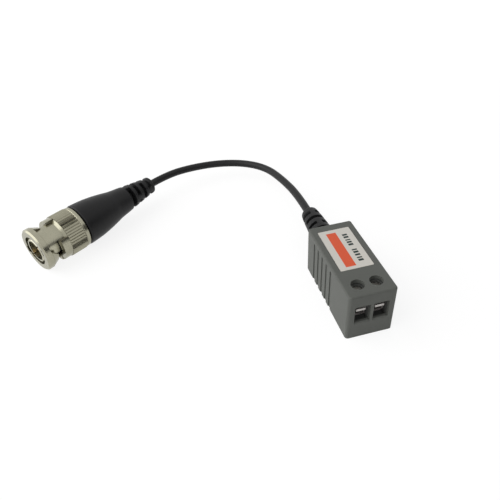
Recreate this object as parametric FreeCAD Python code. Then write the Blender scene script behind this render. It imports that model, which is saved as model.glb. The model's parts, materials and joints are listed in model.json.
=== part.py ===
import FreeCAD, Part
import math
import os

# Passive video balun: a small plastic box with two screw terminals at its
# front and a short coaxial lead with a bayonet plug at its back.
# Millimetres. X to the right seen from the terminals, Y from the terminals
# to the lead, Z up. The origin is the middle of the box's footprint.

V = FreeCAD.Vector

# How far cutters run past a face, how far joined pieces sink into each other,
# and how near two numbers are when they count as the same
past = 1.0
sunk = 0.5
same = 1e-6

# Box
body_length = 29.8
body_width = 13.1
body_height = 14.8
front_wall = 1.0
side_wall = 1.3
rear_wall = 1.4
top_wall = 1.2
front_corner_radius = 0.9
rear_corner_radius = 0.7
top_edge_radius = 0.5

# Grip grooves down both sides
groove_count = 5
groove_pitch = 3.0
groove_width = 1.3
groove_depth = 0.25
first_groove_setback = 11.9
groove_top_margin = 1.5

# Labels, each in its own shallow recess
label_thickness = 0.12
label_corner_radius = 0.3
label_recess_depth = 0.15
label_recess_margin = 0.12
top_label_length = 17.1
top_label_width = 9.3
top_label_rear_margin = 2.8
bottom_label_end_margin = 0.8
bottom_label_side_margin = 0.4

# Snap-in bottom cover
cover_thickness = 1.0
cover_inset = 0.25
cover_clearance = 0.1
snap_bead_radius = 0.35
snap_bead_length = 16.0
snap_bead_clearance = 0.05
cover_post_size = 1.6
cover_post_height = 0.65

# Circuit board and the small parts on it
board_thickness = 1.2
board_width = 9.8
board_rear_clearance = 1.5
board_front_clearance = 0.3
board_rail_width = 0.8
board_rail_height = 0.8
board_rail_length = 15.0
board_rail_setback = 1.0
board_gap_count = 4
core_outer_radius = 3.0
core_inner_radius = 1.5
core_height = 2.4
core_pad_gap = 0.45
turn_wire = 0.36
turn_gap = 0.04
turns_each_side = 6
turn_step_deg = 21.0
diode_length = 4.3
diode_width = 2.5
diode_height = 2.1
chip_length = 3.2
chip_width = 1.6
capacitor_height = 1.3
resistor_height = 0.6
chip_x = 2.4

# Two-way screw terminal
pole_pitch = 5.08
window_width = 4.25
window_height = 5.3
window_drop = 4.1
window_chamfer = 0.35
screw_setback = 4.2
screw_access_diameter = 3.6
block_width = 10.16
block_depth = 7.0
block_gap = 0.05
block_top_gap = 0.3
block_lid = 0.55
block_brow_setback = 0.6
pole_cavity_width = 4.0
cavity_floor_gap = 1.1
cavity_end_gap = 0.15
bar_width = 2.5
pin_width = 1.25
bar_thickness = 0.7
bar_bend_radius = 0.55
pin_wall = 0.1
pin_thickness = 0.7
pin_reach = 0.35
cage_width = 3.8
cage_depth = 3.6
cage_side_wall = 0.55
cage_edge_radius = 0.45
cage_plate = 0.7
cage_top_gap = 0.05
wire_gap = 2.3
clamp_travel = 1.8
screw_shank_radius = 1.2
screw_shank_clearance = 0.06
screw_head_radius = 1.6
screw_head_clearance = 0.1
screw_head_height = 0.9
screw_head_gap = 0.05
screw_tip_gap = 0.15
screw_edge = 0.2
head_seat_gap = 0.001
screw_retainer_radius = 1.45
slot_width = 0.5
slot_depth = 0.45

# Lead and the strain relief in the box's back wall
lead_diameter = 2.6
lead_height = 7.4
relief_length = 16.5
relief_base_radius = 4.2
relief_tail_radius = 2.7
relief_tail_edge = 0.4
relief_base_disc = 1.4
relief_neck_radius = 2.6
relief_inner_disc_radius = 3.4
relief_inner_disc = 1.0
relief_ribs = 3
relief_gap_share = 0.4
relief_shoulder_end = 3.8
relief_shoulder_radius = 3.8
relief_collar_start = 14.1
relief_first_rib_radius = 3.5
relief_last_rib_radius = 3.0
relief_core_radius = 1.95
relief_web_width = 1.8
web_recess = 0.2
inner_jacket_reach = 1.6
dielectric_radius = 0.8
dielectric_reach = 1.6
core_wire_radius = 0.28
core_wire_turn = 0.84
braid_radius = 0.5
braid_turn = 1.0
tail_spread = 1.9

# Route of the free lead between its ends, from the relief to the plug
lead_route = [
    (0.0, 31.4, 7.4),
    (0.0, 42.7, 7.4),
    (-1.7, 55.1, 6.8),
    (-4.5, 66.2, 6.0),
    (-10.9, 73.7, 5.4),
    (-20.4, 77.1, 5.5),
    (-31.1, 76.2, 6.3),
    (-41.4, 72.6, 7.2),
    (-48.4, 67.7, 7.2),
]
arc_share = 0.45

# Bayonet plug, along its own axis from the tail of its boot
plug_heading_deg = 215.0
boot_length = 30.8
boot_tail_radius = 3.0
boot_tail_edge = 0.5
boot_collar_end = 1.6
boot_ribs = 3
boot_gap_share = 0.48
boot_first_rib_radius = 3.3
boot_last_rib_radius = 4.2
boot_core_radius = 2.1
boot_web_width = 2.0
boot_front_radius = 7.15
boot_front_edge = 0.4

# Boot's flank as distances from the tail and radii, up to its front
boot_flank = [(10.7, 4.35), (16.0, 5.05), (20.8, 6.1), (25.2, 6.85)]

# Coupling nut, measured back from its front face
nut_gap = 0.3
nut_length = 15.9
nut_flange_width = 2.0
nut_outer_radius = 7.2
nut_waist_radius = 5.9
nut_bore_radius = 4.88
nut_edge = 0.5
knurl_start = 8.9
knurl_length = 5.4
knurl_ridges = 48
knurl_depth = 0.32
knurl_shoulder = 0.1
knurl_relief = 0.4
nut_rear_radius = 7.05
nut_rear_edge = 0.3
nut_chamber_radius = 6.05
nut_chamber_depth = 6.0
lobe_radius = 6.95
pad_radius = 7.0
pad_flat = 0.3
pad_end_radius = 6.1
slot_land = 0.05
lobe_sweep_deg = 112.0
lobe_start_deg = -87.0
slot_mouth_deg = 8.0
slot_mouth_half = 1.95
slot_ramp_top = 0.2
slot_run_width = 1.9
slot_run_centre = 5.2
slot_run_advance = 0.25
slot_run_sweep_deg = 73.0
bayonet_notch_width = 2.2
bayonet_notch_radius = 5.6
detent_radius = 1.15
detent_dip = 0.3

# Plug body and what it carries
collar_width = 1.3
collar_clearance = 0.1
collar_axial_gap = 0.1
washer_seat_radius = 4.6
washer_clearance = 0.08
nut_slide_travel = 0.5
spring_washer_band = 0.25
spring_washer_rise = 0.5
spring_washer_waves = 3
spring_washer_steps = 24
spring_washer_room = 0.1
thrust_washer_thickness = 0.6
ring_thickness = 0.6
ring_gap = 0.05
ring_bite = 0.35
ring_groove_side_gap = 0.01
ring_groove_depth_gap = 0.02
ring_inner_gap = 0.5
ring_opening_deg = 40.0
contact_radius = 4.05
contact_wall = 0.7
contact_lip = 0.2
contact_setback = 0.15
contact_slits = 4
contact_slit_width = 0.5
contact_slit_length = 7.0
contact_seat_depth = 3.6
insulator_setback = 5.0
insulator_tail_radius = 2.4
insulator_tail_length = 4.6
pin_radius = 0.675
pin_setback = 0.9
pin_tail_radius = 1.1
pin_tail_length = 3.0
pin_tip_length = 0.5
pin_tip_radius = 0.4
wire_hole_depth = 2.1
gasket_thickness = 0.8
shoulder_radius = 4.9
shoulder_length = 2.8
shank_radius = 3.6
shank_length = 3.0
stem_radius = 1.75
stem_length = 7.0
stem_bore_radius = 0.85
ferrule_wall = 0.45
ferrule_overhang = 1.8
jacket_stop = 0.3

# Worked out from the sizes above
half_length = body_length / 2
half_width = body_width / 2
front_face = -half_length
rear_face = half_length
inner_half_width = half_width - side_wall
inner_front = front_face + front_wall
inner_rear = rear_face - rear_wall
inner_top = body_height - top_wall
cover_top = cover_inset + cover_thickness
board_bottom = cover_top + cover_post_height
board_top = board_bottom + board_thickness
board_front = inner_front + board_front_clearance
board_rear = inner_rear - board_rear_clearance
screw_y = front_face + screw_setback
pole_x = pole_pitch / 2
block_front = inner_front + block_gap
block_rear = block_front + block_depth
block_top = inner_top - block_top_gap
window_head = body_height - window_drop
window_sill = window_head - window_height
head_top = block_top - block_lid - screw_head_gap
head_bottom = head_top - screw_head_height
cavity_ceiling = head_bottom
cage_lid_top = cavity_ceiling - screw_head_gap - clamp_travel
cage_lid_bottom = cage_lid_top - cage_plate
bar_top = cage_lid_bottom - cage_top_gap
bar_underside = bar_top - bar_thickness
cage_floor_top = bar_underside - wire_gap
cage_floor_bottom = cage_floor_top - cage_plate
cavity_floor = cage_floor_bottom - cavity_floor_gap
cavity_rear = screw_y + cage_depth / 2 + cavity_end_gap
pin_rear = cavity_rear + pin_wall + pin_thickness
lead_radius = lead_diameter / 2
relief_end = rear_face + relief_length
jacket_end = inner_rear - relief_inner_disc - inner_jacket_reach
insulation_end = jacket_end - dielectric_reach
core_wire_y = insulation_end - core_wire_turn
cover_front = inner_front + cover_clearance
cover_rear = inner_rear - cover_clearance
cover_half_width = inner_half_width - cover_clearance
core_reach = core_outer_radius + turn_gap + turn_wire
board_room = core_wire_y - core_wire_radius - block_rear
board_gap = (board_room - diode_width - 2 * core_reach - chip_width) / board_gap_count
diode_y = block_rear + board_gap + diode_width / 2
core_y = diode_y + diode_width / 2 + board_gap + core_reach
chip_y = core_y + core_reach + board_gap + chip_width / 2
nut_rear = boot_length + nut_gap
nut_front = nut_rear + nut_length
collar_front = nut_rear + nut_chamber_depth - collar_axial_gap
collar_rear = collar_front - collar_width
ferrule_outer = stem_radius + ferrule_wall
shoulder_start = boot_length - shoulder_length
shank_start = shoulder_start - shank_length
stem_start = shank_start - stem_length
ferrule_start = stem_start - ferrule_overhang
contact_base = collar_front - contact_seat_depth
pin_base = contact_base - insulator_tail_length
wire_hole_top = pin_base + wire_hole_depth
ring_low = (collar_rear - nut_slide_travel - spring_washer_rise - spring_washer_band
            - spring_washer_room - thrust_washer_thickness - ring_gap - ring_thickness)
plug_tail = V(*lead_route[-1])
plug_heading = V(math.cos(math.radians(plug_heading_deg)),
                 math.sin(math.radians(plug_heading_deg)), 0)


def block(x0, x1, y0, y1, z0, z1):
    """A box between two corners."""
    return Part.makeBox(x1 - x0, y1 - y0, z1 - z0, V(x0, y0, z0))


def rod(radius, start, end, direction=V(0, 0, 1)):
    """A cylinder along a direction, between two distances from the origin."""
    axis = V(direction)
    return Part.makeCylinder(radius, end - start, axis * start, axis)


def turned(points):
    """A solid turned about the Z axis from (radius, height) points."""
    loop = [V(r, 0, z) for r, z in points]
    face = Part.Face(Part.makePolygon(loop + loop[:1]))
    return face.revolve(V(0, 0, 0), V(0, 0, 1), 360)


def ring(inner, outer, start, end):
    """A plain ring about the Z axis."""
    return turned([(inner, start), (outer, start), (outer, end), (inner, end)])


def one_solid(shape):
    """The single clean solid of a boolean's result."""
    clean = shape.removeSplitter()
    if len(clean.Solids) == 1:
        return clean.Solids[0]
    return clean


def fillet_where(shape, radius, wanted):
    """Round every edge for which wanted(edge) holds."""
    edges = [edge for edge in shape.Edges if wanted(edge)]
    return shape.makeFillet(radius, edges)


def upright_edge_at(y):
    """A test for straight vertical edges that stand at a given Y."""
    def test(edge):
        box = edge.BoundBox
        return box.ZLength > past and abs(edge.CenterOfMass.y - y) < same
    return test


def edges_in_plane(z):
    """A test for edges that lie in the horizontal plane at z."""
    def test(edge):
        return abs(edge.BoundBox.ZMin - z) < same and abs(edge.BoundBox.ZMax - z) < same
    return test


def rounded_plate(x0, x1, y0, y1, z0, z1, radius):
    """A flat plate with rounded corners."""
    plate = block(x0, x1, y0, y1, z0, z1)
    corners = [edge for edge in plate.Edges
               if edge.BoundBox.XLength < same and edge.BoundBox.YLength < same]
    return plate.makeFillet(radius, corners)


def on_plug(shape):
    """Move a piece made about the Z axis onto the plug's axis."""
    up = V(0, 0, 1)
    turn = FreeCAD.Rotation(up.cross(plug_heading), up, plug_heading, "ZXY")
    moved = shape.copy()
    moved.Placement = FreeCAD.Placement(plug_tail, turn).multiply(shape.Placement)
    return moved


def from_nut_front(distance):
    """Height along the plug's axis of a distance behind the nut's front."""
    return nut_front - distance


# Box shell

def label_recess(length, width, middle_y, z0, z1):
    """The shallow pocket that a label lies in."""
    margin = label_recess_margin
    return rounded_plate(-width / 2 - margin, width / 2 + margin,
                         middle_y - length / 2 - margin, middle_y + length / 2 + margin,
                         z0, z1, label_corner_radius + margin)


def top_label_middle():
    return rear_face - top_label_rear_margin - top_label_length / 2


def wire_window(x):
    """One wire window through the front wall, with a chamfered mouth."""
    half = window_width / 2
    hole = block(x - half, x + half, front_face - past, inner_front + past,
                 window_sill, window_head)
    mouth = []
    for depth, grow in ((0, window_chamfer), (window_chamfer, 0)):
        y = front_face + depth
        corners = [V(x - half, y, window_sill - grow), V(x + half, y, window_sill - grow),
                   V(x + half, y, window_head + grow), V(x - half, y, window_head + grow)]
        mouth.append(Part.makePolygon(corners + corners[:1]))
    return hole.fuse(Part.makeLoft(mouth, True, True))


def side_grooves():
    """The upright grip grooves in both side faces."""
    grooves = []
    for side in (-1, 1):
        for index in range(groove_count):
            y = front_face + first_groove_setback + index * groove_pitch
            x = side * half_width
            grooves.append(block(x - groove_depth, x + groove_depth,
                                 y - groove_width / 2, y + groove_width / 2,
                                 -past, body_height - groove_top_margin))
    return grooves


def snap_bead(side, radius):
    """The long bead on each side of the cover, or the groove it snaps into."""
    start = V(side * cover_half_width, -snap_bead_length / 2, cover_inset + cover_thickness / 2)
    return Part.makeCylinder(radius, snap_bead_length, start, V(0, 1, 0))


def board_rail(side):
    """A rail along each side wall that keeps the circuit board down."""
    near, far = sorted((side * (inner_half_width + side_wall / 2),
                        side * (inner_half_width - board_rail_width)))
    front = block_rear + board_rail_setback
    return block(near, far, front, front + board_rail_length,
                 board_top, board_top + board_rail_height)


def make_housing():
    """Box shell: open underneath, with windows, screw holes and grip grooves."""
    shell = block(-half_width, half_width, front_face, rear_face, 0, body_height)
    shell = fillet_where(shell, front_corner_radius, upright_edge_at(front_face))
    shell = fillet_where(shell, rear_corner_radius, upright_edge_at(rear_face))
    shell = fillet_where(shell, top_edge_radius, edges_in_plane(body_height))
    shell = shell.cut(block(-inner_half_width, inner_half_width, inner_front, inner_rear,
                            -past, inner_top))
    cuts = side_grooves()
    cuts.append(label_recess(top_label_length, top_label_width, top_label_middle(),
                             body_height - label_recess_depth, body_height + past))
    cuts.append(Part.makeCylinder(relief_neck_radius, rear_wall + 2 * past,
                                  V(0, inner_rear - past, lead_height), V(0, 1, 0)))
    for side in (-1, 1):
        cuts.append(wire_window(side * pole_x))
        cuts.append(Part.makeCylinder(screw_access_diameter / 2, top_wall + 2 * past,
                                      V(side * pole_x, screw_y, inner_top - past)))
        cuts.append(snap_bead(side, snap_bead_radius + snap_bead_clearance))
    shell = shell.cut(cuts)
    return one_solid(shell.fuse([board_rail(side) for side in (-1, 1)]))


def make_bottom_cover():
    """Flat cover with snap beads and the posts that the board stands on."""
    plate = block(-cover_half_width, cover_half_width, cover_front, cover_rear,
                  cover_inset, cover_top)
    extras = []
    for side in (-1, 1):
        extras.append(snap_bead(side, snap_bead_radius))
        x = side * (board_width - cover_post_size) / 2
        for y in (block_rear, board_rear - cover_post_size):
            extras.append(block(x - cover_post_size / 2, x + cover_post_size / 2,
                                y, y + cover_post_size, cover_top, board_bottom))
    return one_solid(plate.fuse(extras))


def make_top_label():
    z = body_height - label_recess_depth
    y = top_label_middle()
    return rounded_plate(-top_label_width / 2, top_label_width / 2,
                         y - top_label_length / 2, y + top_label_length / 2,
                         z, z + label_thickness, label_corner_radius)


def make_bottom_label():
    half = cover_half_width - bottom_label_side_margin
    return rounded_plate(-half, half, cover_front + bottom_label_end_margin,
                         cover_rear - bottom_label_end_margin,
                         cover_inset - label_thickness, cover_inset, label_corner_radius)


# Screw terminal

def make_terminal_block():
    """Two-way block with a cavity for each cage and a hole for each screw."""
    body = block(-block_width / 2, block_width / 2, block_front, block_rear, board_top, block_top)
    cavity_front = screw_y - cage_depth / 2 - cavity_end_gap
    cuts = []
    for side in (-1, 1):
        x = side * pole_x
        half = pole_cavity_width / 2
        bar_half = bar_width / 2
        cuts.append(block(x - half, x + half, cavity_front, cavity_rear,
                          cavity_floor, cavity_ceiling))
        cuts.append(block(x - half, x + half, block_front - past, screw_y,
                          cavity_floor, bar_top))
        cuts.append(block(x - half, x + half, block_front - past,
                          block_front + block_brow_setback, bar_underside, window_head))
        cuts.append(block(x - bar_half, x + bar_half, block_front - past, pin_rear,
                          bar_underside, bar_top))
        cuts.append(block(x - bar_half, x + bar_half, pin_rear - pin_thickness, pin_rear,
                          board_top - past, bar_top))
        cuts.append(Part.makeCylinder(screw_head_radius + screw_head_clearance,
                                      screw_head_height + screw_head_gap + sunk,
                                      V(x, screw_y, head_bottom - sunk)))
        cuts.append(Part.makeCylinder(screw_retainer_radius, body_height, V(x, screw_y, head_top)))
    return one_solid(body.cut(cuts))


def make_contact_bar(side):
    """Flat bar over the wire, bent down into a solder pin through the board."""
    x = side * pole_x
    half = bar_width / 2
    leg_front = pin_rear - pin_thickness
    bar = block(x - half, x + half, block_front, pin_rear, bar_underside, bar_top)
    leg = block(x - half, x + half, leg_front, pin_rear, board_top, bar_top)
    pin = block(x - pin_width / 2, x + pin_width / 2, leg_front, pin_rear,
                board_bottom - pin_reach, board_top)
    bent = bar.fuse(leg).removeSplitter()
    outer = [edge for edge in bent.Edges
             if abs(edge.CenterOfMass.y - pin_rear) < same
             and abs(edge.CenterOfMass.z - bar_top) < same]
    return one_solid(bent.makeFillet(bar_bend_radius, outer).fuse(pin))


def make_clamp_cage(side):
    """Square cage that the screw lifts, so its floor pinches the wire."""
    x = side * pole_x
    half = cage_width / 2
    inner = half - cage_side_wall
    front, rear = screw_y - cage_depth / 2, screw_y + cage_depth / 2
    cage = block(x - half, x + half, front, rear, cage_floor_bottom, cage_lid_top)
    hollow = block(x - inner, x + inner, front - past, rear + past,
                   cage_floor_top, cage_lid_bottom)
    bore = Part.makeCylinder(screw_shank_radius + screw_shank_clearance, cage_plate + 2 * sunk,
                             V(x, screw_y, cage_lid_bottom - sunk))
    long_edges = [edge for edge in cage.Edges if edge.BoundBox.YLength > cage_depth / 2]
    return one_solid(cage.makeFillet(cage_edge_radius, long_edges).cut([hollow, bore]))


def make_terminal_screw(side):
    """Slotted screw, held in the block and threaded through the cage's lid."""
    seat = head_bottom + head_seat_gap
    tip = bar_top + screw_tip_gap
    screw = turned([(0, tip), (screw_shank_radius, tip), (screw_shank_radius, seat),
                    (screw_head_radius, seat), (screw_head_radius, head_top - screw_edge),
                    (screw_head_radius - screw_edge, head_top), (0, head_top)])
    reach = screw_head_radius + past
    slot = block(-reach, reach, -slot_width / 2, slot_width / 2,
                 head_top - slot_depth, head_top + past)
    screw = screw.cut(slot)
    screw.translate(V(side * pole_x, screw_y, 0))
    return one_solid(screw)


# Circuit board and its parts

def make_circuit_board():
    """Board with holes for the two solder pins."""
    board = block(-board_width / 2, board_width / 2, board_front, board_rear,
                  board_bottom, board_top)
    holes = []
    for side in (-1, 1):
        x = side * pole_x
        half = pin_width / 2
        holes.append(block(x - half, x + half, pin_rear - pin_thickness, pin_rear,
                           board_bottom - past, board_top + past))
    return one_solid(board.cut(holes))


def make_ferrite_core():
    low = board_top + core_pad_gap
    core = ring(core_inner_radius, core_outer_radius, low, low + core_height)
    core.translate(V(0, core_y, 0))
    return core


def make_winding(side):
    """Turns of enamelled wire round one half of the ferrite ring."""
    low = board_top + core_pad_gap - turn_gap
    high = board_top + core_pad_gap + core_height + turn_gap
    inner, outer = core_inner_radius - turn_gap, core_outer_radius + turn_gap
    turns = []
    for index in range(turns_each_side):
        angle = 90 * side + (index - (turns_each_side - 1) / 2) * turn_step_deg
        half = turn_wire / 2
        loop = block(inner - turn_wire, outer + turn_wire, -half, half,
                     low - turn_wire, high + turn_wire)
        loop = loop.cut(block(inner, outer, -past, past, low, high))
        loop.rotate(V(0, 0, 0), V(0, 0, 1), angle - 90)
        loop.translate(V(0, core_y, 0))
        turns.append(loop)
    return Part.makeCompound(turns)


def make_chip(x, y, length, width, height):
    """A small surface-mounted part on the board."""
    return block(x - length / 2, x + length / 2, y - width / 2, y + width / 2,
                 board_top, board_top + height)


# Lead

def lead_corners():
    """Each corner's two tangent points, middle of arc and radius."""
    points = [V(*p) for p in lead_route]
    corners = []
    for before, corner, after in zip(points, points[1:], points[2:]):
        back = (before - corner).normalize()
        ahead = (after - corner).normalize()
        half_turn = (math.pi - back.getAngle(ahead)) / 2
        shorter = min((before - corner).Length, (after - corner).Length)
        cut_back = arc_share * shorter
        radius = cut_back / math.tan(half_turn)
        to_centre = (back + ahead).normalize()
        centre = corner + to_centre * (radius / math.cos(half_turn))
        corners.append((corner + back * cut_back, centre - to_centre * radius,
                        corner + ahead * cut_back, radius))
    return corners


def make_lead():
    """The free lead as straight runs joined by tangent arcs."""
    edges = []
    here = V(*lead_route[0])
    for first, middle, last, radius in lead_corners():
        edges.append(Part.LineSegment(here, first).toShape())
        edges.append(Part.Arc(first, middle, last).toShape())
        here = last
    edges.append(Part.LineSegment(here, V(*lead_route[-1])).toShape())
    path = Part.Wire(edges)
    section = Part.Wire(Part.makeCircle(lead_radius, V(*lead_route[0]), V(0, 1, 0)))
    tube = path.makePipeShell([section], True, False)
    print("lead length", round(path.Length, 2), "radii", [round(c[3], 1) for c in lead_corners()])
    print("lead volume", round(tube.Volume, 2), "section times length",
          round(math.pi * lead_radius ** 2 * path.Length, 2))
    return tube


def make_lead_box_end():
    """The lead's end inside the box: jacket, insulation, core and braid."""
    y = V(0, 1, 0)
    jacket = Part.makeCylinder(lead_radius, relief_end - jacket_end,
                               V(0, jacket_end, lead_height), y)
    insulation = Part.makeCylinder(dielectric_radius, dielectric_reach + sunk,
                                   V(0, insulation_end, lead_height), y)
    core = bent_wire([V(0, insulation_end + sunk, lead_height), V(0, core_wire_y, lead_height),
                      V(0, core_wire_y, board_top)], core_wire_radius)
    height = lead_height - lead_radius + braid_radius
    turn = V(0, jacket_end - braid_turn, height)
    braid = bent_wire([V(0, jacket_end + sunk, height), turn,
                       V(-tail_spread, turn.y, board_top - braid_radius)], braid_radius)
    over_board = block(-half_width, half_width, front_face, rear_face, board_top, body_height)
    return one_solid(jacket.fuse([insulation, core, braid.common(over_board)]))


def bent_wire(points, radius):
    """A round wire along straight pieces, with mitred corners."""
    path = Part.makePolygon(points)
    section = Part.Wire(Part.makeCircle(radius, points[0], points[1] - points[0]))
    mitred = 1
    return path.makePipeShell([section], True, False, mitred)


def ribbed_stretch(start, end, ribs, gap_share, first_radius, last_radius, core_radius, web_width):
    """Ribs on a core, with webs across the gaps that turn a quarter from gap to gap."""
    pitch = (end - start) / (ribs + gap_share)
    gap = pitch * gap_share
    stretch = rod(core_radius, start - sunk, end + sunk)
    for index in range(ribs + 1):
        place = start + index * pitch
        radius = first_radius + (last_radius - first_radius) * index / ribs
        reach = radius - web_recess
        web = block(-reach, reach, -web_width / 2, web_width / 2, place, place + gap)
        if index % 2:
            web.rotate(V(0, 0, 0), V(0, 0, 1), 90)
        stretch = stretch.fuse(web)
        if index < ribs:
            stretch = stretch.fuse(rod(radius, place + gap, place + pitch))
    return stretch


def make_cable_relief():
    """Tapered ribbed strain relief, buttoned into the box's back wall."""
    inner_face = -rear_wall - relief_inner_disc
    base = turned([(0, inner_face), (relief_inner_disc_radius, inner_face),
                   (relief_inner_disc_radius, -rear_wall), (relief_neck_radius, -rear_wall),
                   (relief_neck_radius, 0), (relief_base_radius, 0),
                   (relief_base_radius, relief_base_disc),
                   (relief_shoulder_radius, relief_base_disc),
                   (relief_shoulder_radius, relief_shoulder_end), (0, relief_shoulder_end)])
    collar = turned([(0, relief_collar_start), (relief_tail_radius, relief_collar_start),
                     (relief_tail_radius, relief_length - relief_tail_edge),
                     (relief_tail_radius - relief_tail_edge, relief_length), (0, relief_length)])
    ribs = ribbed_stretch(relief_shoulder_end, relief_collar_start, relief_ribs, relief_gap_share,
                          relief_first_rib_radius, relief_last_rib_radius,
                          relief_core_radius, relief_web_width)
    body = base.fuse(ribs).fuse(collar)
    body = body.cut(rod(lead_radius, inner_face - past, relief_length + past))
    body.rotate(V(0, 0, 0), V(1, 0, 0), -90)
    body.translate(V(0, rear_face, lead_height))
    return one_solid(body)


# Plug

def make_plug_boot():
    """Moulded boot: a full-bodied flank and a ribbed, flexible tail."""
    collar = turned([(0, 0), (boot_tail_radius - boot_tail_edge, 0),
                     (boot_tail_radius, boot_tail_edge), (boot_tail_radius, boot_collar_end),
                     (0, boot_collar_end)])
    flank_start = boot_flank[0][0]
    ribs = ribbed_stretch(boot_collar_end, flank_start, boot_ribs, boot_gap_share,
                          boot_first_rib_radius, boot_last_rib_radius,
                          boot_core_radius, boot_web_width)
    flank = turned([(0, flank_start)] + [(radius, place) for place, radius in boot_flank]
                   + [(boot_front_radius, boot_length - boot_front_edge),
                      (boot_front_radius - boot_front_edge, boot_length), (0, boot_length)])
    body = collar.fuse(ribs).fuse(flank)
    hollow = [rod(lead_radius, -past, ferrule_start), rod(ferrule_outer, ferrule_start, shank_start),
              rod(shank_radius, shank_start, shoulder_start),
              rod(shoulder_radius, shoulder_start, boot_length + past)]
    return one_solid(body.cut(hollow))


def make_lead_plug_end():
    """The lead's end inside the boot, its core reaching the centre pin."""
    stop = stem_start - jacket_stop
    jacket = rod(lead_radius, 0, stop)
    insulation = rod(stem_bore_radius, stop - sunk, pin_base)
    core = rod(core_wire_radius, pin_base - sunk, wire_hole_top)
    return one_solid(jacket.fuse([insulation, core]))


def make_crimp_ferrule():
    """Ferrule on the stem, drawn in over the lead behind it."""
    return turned([(lead_radius, ferrule_start), (ferrule_outer, ferrule_start),
                   (ferrule_outer, shank_start), (stem_radius, shank_start),
                   (stem_radius, stem_start), (lead_radius, stem_start)])


def make_plug_body():
    """Turned plug body: crimp stem, shank, washer seat and collar."""
    collar_radius = nut_chamber_radius - collar_clearance
    return turned([(stem_bore_radius, stem_start), (stem_radius, stem_start),
                   (stem_radius, shank_start), (shank_radius, shank_start),
                   (shank_radius, shoulder_start), (shoulder_radius, shoulder_start),
                   (shoulder_radius, boot_length), (washer_seat_radius, boot_length),
                   (washer_seat_radius, collar_rear), (collar_radius, collar_rear),
                   (collar_radius, collar_front), (contact_radius, collar_front),
                   (contact_radius, contact_base), (insulator_tail_radius, contact_base),
                   (insulator_tail_radius, pin_base), (stem_bore_radius, pin_base)])


def make_contact_sleeve():
    """Springy outer contact, slit from its front."""
    front = nut_front - contact_setback
    inner = contact_radius - contact_wall
    sleeve = turned([(inner, contact_base), (contact_radius, contact_base),
                     (contact_radius, front - contact_lip), (contact_radius - contact_lip, front),
                     (inner, front)])
    slits = []
    for index in range(contact_slits):
        slit = block(0, contact_radius + past, -contact_slit_width / 2, contact_slit_width / 2,
                     front - contact_slit_length, front + past)
        slit.rotate(V(0, 0, 0), V(0, 0, 1), (index + 0.5) * 360 / contact_slits)
        slits.append(slit)
    return one_solid(sleeve.cut(slits))


def make_plug_insulator():
    inner = contact_radius - contact_wall
    front = nut_front - insulator_setback
    tail_bore = pin_base + pin_tail_length
    return turned([(pin_tail_radius, pin_base), (insulator_tail_radius, pin_base),
                   (insulator_tail_radius, contact_base), (inner, contact_base),
                   (inner, front), (pin_radius, front),
                   (pin_radius, tail_bore), (pin_tail_radius, tail_bore)])


def make_centre_pin():
    """Centre pin, bored at its tail for the lead's core."""
    front = nut_front - contact_setback - pin_setback
    shoulder = pin_base + pin_tail_length
    return turned([(core_wire_radius, pin_base), (pin_tail_radius, pin_base),
                   (pin_tail_radius, shoulder), (pin_radius, shoulder),
                   (pin_radius, front - pin_tip_length), (pin_tip_radius, front), (0, front),
                   (0, wire_hole_top), (core_wire_radius, wire_hole_top)])


def make_plug_gasket():
    return ring(contact_radius, nut_bore_radius - collar_clearance,
                collar_front, collar_front + gasket_thickness)


def make_retaining_ring():
    """Open snap ring in the nut's groove."""
    full = ring(washer_seat_radius + ring_inner_gap, nut_chamber_radius + ring_bite,
                ring_low, ring_low + ring_thickness)
    half = math.radians(ring_opening_deg / 2)
    low = ring_low - past
    side = V(nut_outer_radius * math.cos(half), nut_outer_radius * math.sin(half), low)
    gap = Part.makePolygon([V(0, 0, low), side, V(side.x, -side.y, low), V(0, 0, low)])
    wedge = Part.Face(gap).extrude(V(0, 0, ring_thickness + 2 * past))
    return one_solid(full.cut(wedge))


def make_thrust_washer():
    low = ring_low + ring_thickness + ring_gap
    return ring(washer_seat_radius + washer_clearance, nut_chamber_radius - washer_clearance,
                low, low + thrust_washer_thickness)


def make_spring_washer():
    """Wavy washer against the collar, drawn at the height it works at."""
    inner = washer_seat_radius + washer_clearance
    outer = nut_chamber_radius - 2 * washer_clearance
    sections = []
    for step in range(spring_washer_steps):
        angle = 2 * math.pi * step / spring_washer_steps
        drop = spring_washer_rise / 2 * (1 - math.cos(spring_washer_waves * angle))
        top = collar_rear - drop
        low = top - spring_washer_band
        corners = [V(r * math.cos(angle), r * math.sin(angle), z)
                   for r, z in ((inner, top), (outer, top), (outer, low), (inner, low))]
        sections.append(Part.makePolygon(corners + corners[:1]))
    return Part.makeLoft(sections + sections[:1], True, True)


def sector(profile, start_deg, sweep_deg):
    """Part of a turned shape, from (radius, height) points."""
    loop = [V(r, 0, z) for r, z in profile]
    part = Part.Face(Part.makePolygon(loop + loop[:1])).revolve(V(0, 0, 0), V(0, 0, 1), sweep_deg)
    part.rotate(V(0, 0, 0), V(0, 0, 1), start_deg)
    return part


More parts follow.
